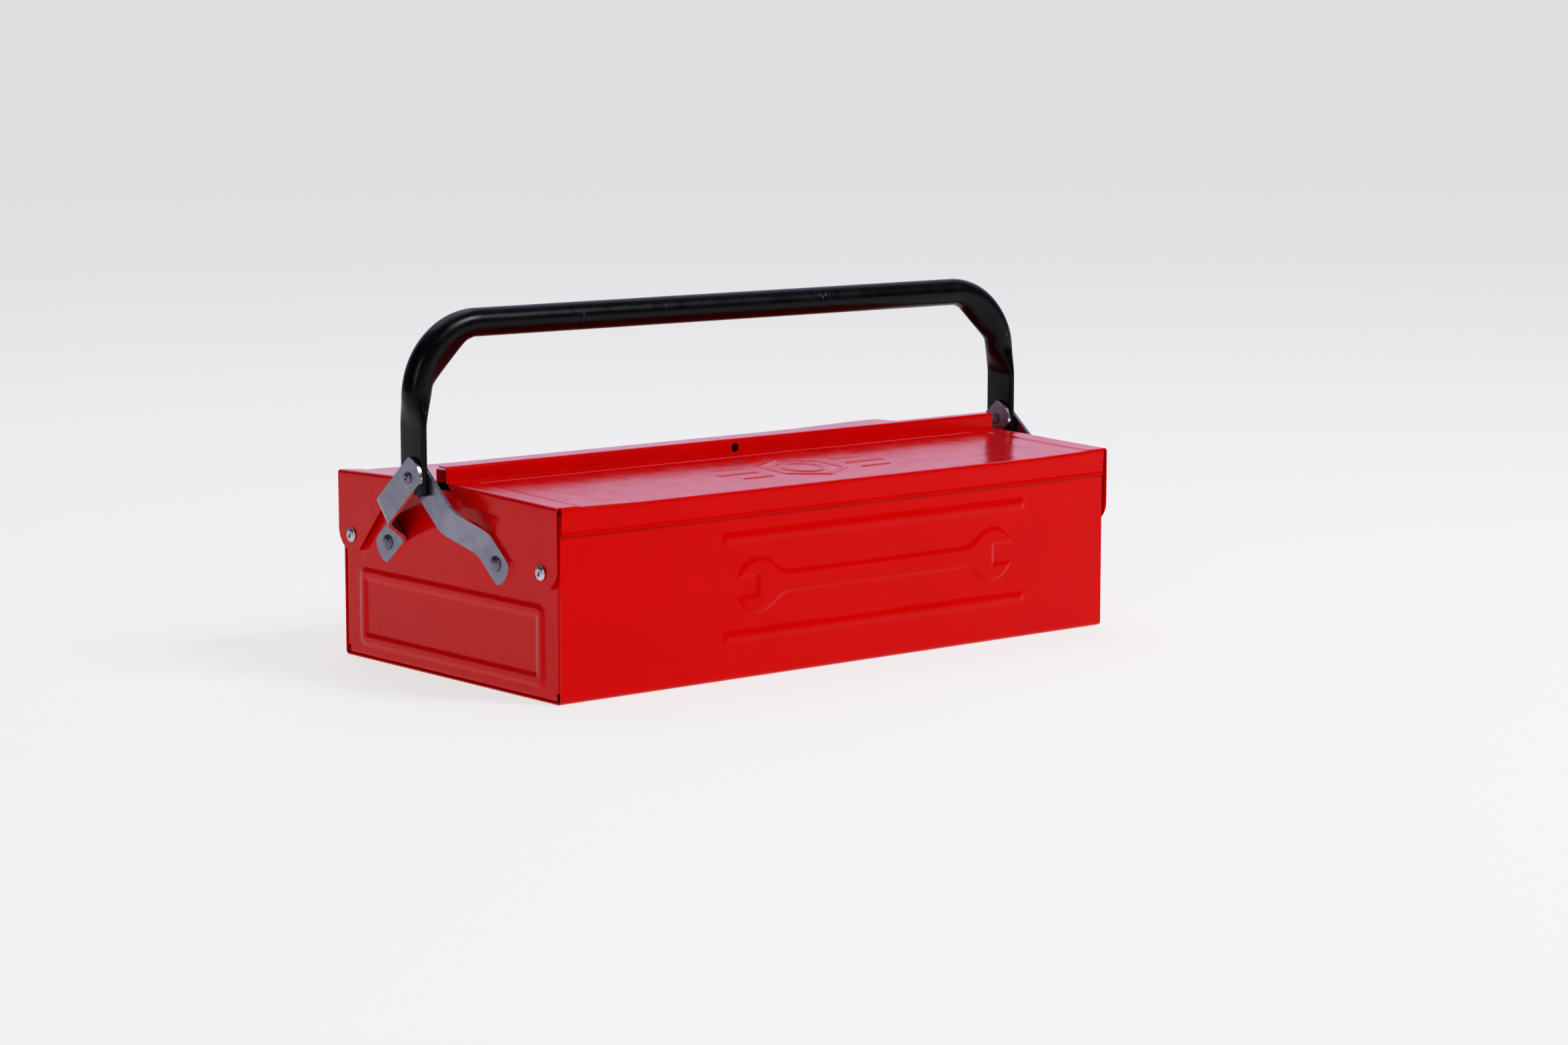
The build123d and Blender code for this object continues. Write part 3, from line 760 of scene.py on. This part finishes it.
def bare_metal(name, dark, light, roughness, streak):
    """Plated or bare metal: cloudy tone, upright rubbed streaks and a fine grain that blurs the gloss.

    Scales count per metre: clouds are 7 mm across, streaks 0.7 mm wide and the grain 0.5 mm,
    which is coarser than the real grain so that it shows.
    """
    material = bpy.data.materials.new(name)
    material.use_nodes = True
    tree = material.node_tree
    tree.nodes.clear()
    place = add_node(tree, "ShaderNodeTexCoord").outputs["Object"]
    clouds = add_node(tree, "ShaderNodeTexNoise", Vector=place, Scale=150, Detail=4)
    grain = add_node(tree, "ShaderNodeTexNoise", Vector=place, Scale=1900, Detail=2)
    drawn_out = add_node(tree, "ShaderNodeMapping", Vector=place, Scale=(1500, 1500, streak))
    streaks = add_node(tree, "ShaderNodeTexNoise", Vector=drawn_out.outputs["Vector"], Scale=1, Detail=2)
    mixed = add_node(tree, "ShaderNodeMath", {"operation": "MULTIPLY_ADD"},
                     i0=streaks.outputs["Fac"], i1=0.5, i2=clouds.outputs["Fac"])
    share = add_node(tree, "ShaderNodeMapRange", Value=mixed.outputs["Value"], From_Min=0.4, From_Max=1.1,
                     To_Min=0.0, To_Max=1.0)
    tone = add_node(tree, "ShaderNodeMix", {"data_type": "RGBA"}, Factor=share.outputs["Result"],
                    i6=linear(dark), i7=linear(light))
    rough = add_node(tree, "ShaderNodeMapRange", Value=streaks.outputs["Fac"], From_Min=0.3, From_Max=0.7,
                     To_Min=roughness * 0.8, To_Max=roughness * 1.3)
    bump = add_node(tree, "ShaderNodeBump", Height=grain.outputs["Fac"], Strength=1.0, Distance=0.000006)
    surface = add_node(tree, "ShaderNodeBsdfPrincipled", Base_Color=tone.outputs[2], Metallic=1.0,
                       Roughness=rough.outputs["Result"], Normal=bump.outputs["Normal"])
    add_node(tree, "ShaderNodeOutputMaterial", Surface=surface.outputs["BSDF"])
    return material


zinc_steel = bare_metal("zinc_plated_steel_strip", "#7E7D8C", "#9897A8", 0.36, 240)
sheared_edge = bare_metal("sheared_steel_edge", "#D6D5E0", "#FFFFFF", 0.22, 1500)


def joggle(along, level):
    """Height of the strip above the panel, with both ends of the ramp rounded."""
    grade = level / (ramp_end - ramp_start)
    height = 0.0
    for corner, sign in ((ramp_start, 1), (ramp_end, -1)):
        past = along - corner
        if past > joggle_r:
            height += sign * grade * past
        elif past > -joggle_r:
            height += sign * grade * (past + joggle_r) ** 2 / (4 * joggle_r)
    return height


link_reach = math.hypot(foot_spread, pivot_z - foot_z)
round_start = 7.8           # the round ends take over from the straight sides here
half_round = [-link_end_r * math.sin(math.radians(a)) for a in range(90, 47, -6)]
link_stations = joined(
    half_round, spaced(half_round[-1], ramp_start - ramp_margin, 3),
    spaced(ramp_start - ramp_margin, ramp_end + ramp_margin, 0.8),
    spaced(ramp_end + ramp_margin, link_reach + round_start, 4),
    [link_reach - s for s in reversed(half_round)])
for end_name, side in (("left", -1), ("right", 1)):
    for foot_name, foot_side in (("front", -1), ("back", 1)):
        cad_node = f"link_{end_name}_{foot_name}"
        link_low, link_high = (corner * 1000 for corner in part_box(cad_node))
        level = max(abs(link_low.x), abs(link_high.x)) - panel_outside - link_thick
        foot = Vector((side * panel_outside, handle_y + foot_side * foot_spread, foot_z))
        upward = Vector((0, -foot_side * foot_spread, pivot_z - foot_z)).normalized()
        outward = Vector((side, 0, 0))
        across = upward.cross(outward)
        strip_rows = []
        for along in link_stations:
            past = max(-along, along - link_reach, 0)
            wide = min(link_half_wide, math.sqrt(max(0.0, link_end_r ** 2 - past ** 2)))
            here = foot + upward * along + outward * (joggle(along, level) + link_thick)
            strip_rows.append([tuple(here + across * (wide * i / 6)) for i in range(-6, 7)])
        strip = bmesh.new()
        lay_grid(strip, strip_rows)
        bmesh.ops.recalc_face_normals(strip, faces=strip.faces)
        if strip.faces[:][0].normal.dot(outward) < 0:
            bmesh.ops.reverse_faces(strip, faces=strip.faces)
        strap = build(strip, f"strap_{end_name}_{foot_name}", zinc_steel, "box", "zinc_steel", cad_node)
        strap.data.materials.append(sheared_edge)
        thicken(strap, link_thick, 1)
        ease(strap, 0.3, 2)


# ---- Rivets: turned shapes, one group for each use ----
# Aluminium blind rivets hold the lids and have the stub of their pulled pin in a small well;
# steel rivets with low domes hold the links, darker and duller than the aluminium.
def turned(mesh, profile, side, y, z, steps=40, middle=0.0):
    """A shape turned about a line along X from (distance from the middle, radius) pairs."""
    rings = []
    for i in range(steps + 1):
        a = math.tau * (i % steps) / steps * side
        rings.append([(middle + side * x, y + r * math.cos(a), z + r * math.sin(a)) for x, r in profile])
    lay_grid(mesh, rings)


def domed(face, radius, height, sign=1, steps=6):
    """Profile of a low dome on a face, from its middle out to its foot."""
    line = [(face + sign * height * math.cos(math.radians(90 * i / steps)) ** 0.8,
             radius * math.sin(math.radians(90 * i / steps))) for i in range(steps)]
    return line + [(face + sign * 0.25, radius), (face, radius)]


rivet_aluminium = bare_metal("blind_rivet_aluminium", "#AFAEBA", "#DAD9E2", 0.34, 1500)
rivet_steel = bare_metal("plated_rivet_steel", "#5A5966", "#8A8997", 0.36, 1500)
blind_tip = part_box("lid_pivot_rivets")[1].x * 1000
blind_face = 203.5          # the outside of the lids' ears, where the rivets' flanges seat
blind_z, blind_r = 70.5, 2.0
panel_inside = panel_outside - sheet
blind = bmesh.new()
for side in (-1, 1):
    for facing in (-1, 1):
        well = [(blind_tip - 1.5, 0.0), (blind_tip - 1.2, 0.55), (blind_tip - 1.6, 0.95),
                (blind_tip - 1.6, 1.1), (blind_tip - 0.25, 1.15), (blind_tip, 1.45), (blind_tip, 2.2)]
        flange = [(blind_tip - 0.25, 3.2), (blind_tip - 0.8, 4.0), (blind_tip - 1.3, 4.2), (blind_face, 4.15)]
        shank = [(blind_face, blind_r), (panel_inside, blind_r)]
        tail = [(panel_inside, 2.7), (panel_inside - 1.2, 3.1), (panel_inside - 3.2, 2.8),
                (panel_inside - 4.0, 1.6), (panel_inside - 4.0, 0.0)]
        turned(blind, well + flange + shank + tail, side, facing * pivot_q, blind_z)
bmesh.ops.recalc_face_normals(blind, faces=blind.faces)
blind_rivets = build(blind, "lid_blind_rivets", rivet_aluminium, "box", "rivet_aluminium", "lid_pivot_rivets")
ease(blind_rivets, 0.08, 1)

foot_face = panel_outside + link_thick
foot_shank_r = 2.5
feet = bmesh.new()
for side in (-1, 1):
    for foot_side in (-1, 1):
        profile = domed(foot_face, 4.4, 1.9) + [(foot_face, foot_shank_r), (panel_inside, foot_shank_r)]
        profile += list(reversed(domed(panel_inside, 4.0, 1.6, -1)))
        turned(feet, profile, side, handle_y + foot_side * foot_spread, foot_z)
bmesh.ops.recalc_face_normals(feet, faces=feet.faces)
foot_rivets = build(feet, "strap_foot_rivets", rivet_steel, "box", "rivet_steel", "link_foot_rivets")
ease(foot_rivets, 0.1, 1)

pivot_head, pivot_stack = 1.7, 8.6    # the height of a head, and the links and leg between the heads
outer_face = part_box("handle_pivot_rivets")[1].x * 1000 - pivot_head
inner_face = outer_face - pivot_stack
pivot_shank_r, pivot_head_r = 2.0, 3.4
pivots = bmesh.new()
for side in (-1, 1):
    peened = [(outer_face + 0.9, 0.0), (outer_face + 1.0, 0.7), (outer_face + pivot_head, 1.3),
              (outer_face + 1.6, 2.2), (outer_face + 1.1, 3.0), (outer_face + 0.3, pivot_head_r)]
    shank = [(outer_face, pivot_head_r), (outer_face, pivot_shank_r), (inner_face, pivot_shank_r)]
    stepped = [(inner_face, pivot_head_r), (inner_face - 0.7, 3.3), (inner_face - 0.9, 1.9),
               (inner_face - 1.6, 1.6), (inner_face - pivot_head, 0.0)]
    turned(pivots, peened + shank + stepped, side, handle_y, pivot_z)
bmesh.ops.recalc_face_normals(pivots, faces=pivots.faces)
pivot_rivets = build(pivots, "handle_pins", rivet_steel, "box", "rivet_steel", "handle_pivot_rivets")
ease(pivot_rivets, 0.1, 1)


# ---- Tray: a drawn pan with a carrying plate, dividers and the rails it slides on ----
# Grey satin enamel; the pan's rounded foot and rim come from drawing. The plate, dividers and
# rails are flat or right-angled sheet, so the CAD shapes stay, with their edges eased.
grey_enamel = enamel("satin_enamel_grey", "#83868B", "#8F9297", 0.012, 0.34, 0.4, "#FFFFFF")
pan_low, pan_high = (corner * 1000 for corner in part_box("tray_pan"))
pan_x, pan_half_x, pan_half_y = (pan_low.x + pan_high.x) / 2, (pan_high.x - pan_low.x) / 2, pan_high.y
pan_corner_r, pan_foot_r = 6.0, 2.4


def pan_loop(inset, z):
    """A rounded-rectangle loop round the pan, a distance inside its widest outline."""
    radius = max(0.5, pan_corner_r - inset)
    loop = []
    for i, (sx, sy) in enumerate(((1, 1), (-1, 1), (-1, -1), (1, -1))):
        centre = (pan_x + sx * (pan_half_x - inset - radius), sy * (pan_half_y - inset - radius))
        loop += [(x, y, z) for x, y in arc(centre, radius, 90 * i, 90 * i + 90, 8)]
    return loop + loop[:1]


pan_foot = arc((pan_foot_r, pan_low.z + pan_foot_r), pan_foot_r, 180, 270, 6)
pan_line = joined([(0, z) for z in spaced(pan_high.z, pan_low.z + pan_foot_r, 8)], pan_foot)
pan = bmesh.new()
pan_rows = lay_grid(pan, [pan_loop(inset, z) for inset, z in pan_line])
pan.faces.new(pan_rows[-1][:-1])
bmesh.ops.recalc_face_normals(pan, faces=pan.faces)
tray_pan = build(pan, "drawn_tray_pan", grey_enamel, "tray", "grey_enamel", "tray_pan")
thicken(tray_pan)
ease(tray_pan)

pin_low, pin_high = (corner * 1000 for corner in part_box("tray_rivets"))
pin_y = (pin_low.y + pin_high.y) / 2
pin_head_r, pin_head, pin_shank_r = 3.0, 1.0, 1.6
plate_thick = 1.0
pin_inner = pan_half_x - sheet - plate_thick
pin_profile = domed(pan_half_x, pin_head_r, pin_head) + [(pan_half_x, pin_shank_r), (pin_inner, pin_shank_r)]
pin_profile += list(reversed(domed(pin_inner, pin_head_r, pin_head, -1)))
tray_pins = bmesh.new()
for side in (-1, 1):
    for pin_z in (pin_low.z + pin_head_r, pin_high.z - pin_head_r):
        turned(tray_pins, pin_profile, side, pin_y, pin_z, steps=24, middle=pan_x)
bmesh.ops.recalc_face_normals(tray_pins, faces=tray_pins.faces)
tray_rivets = build(tray_pins, "tray_rivet_heads", rivet_aluminium, "tray", "rivet_aluminium", "tray_rivets")
ease(tray_rivets, 0.08, 1)

for cad_node, finish in (("tray_carrying_plate", grey_enamel), ("tray_divider_front", grey_enamel),
                         ("tray_divider_back", grey_enamel), ("tray_rail_front", red_enamel),
                         ("tray_rail_back", red_enamel)):
    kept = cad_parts[cad_node]
    kept.data.materials.clear()
    kept.data.materials.append(finish)
    weld = kept.modifiers.new("joined_corners", "WELD")
    weld.merge_threshold = 0.00001
    ease(kept, 0.2)
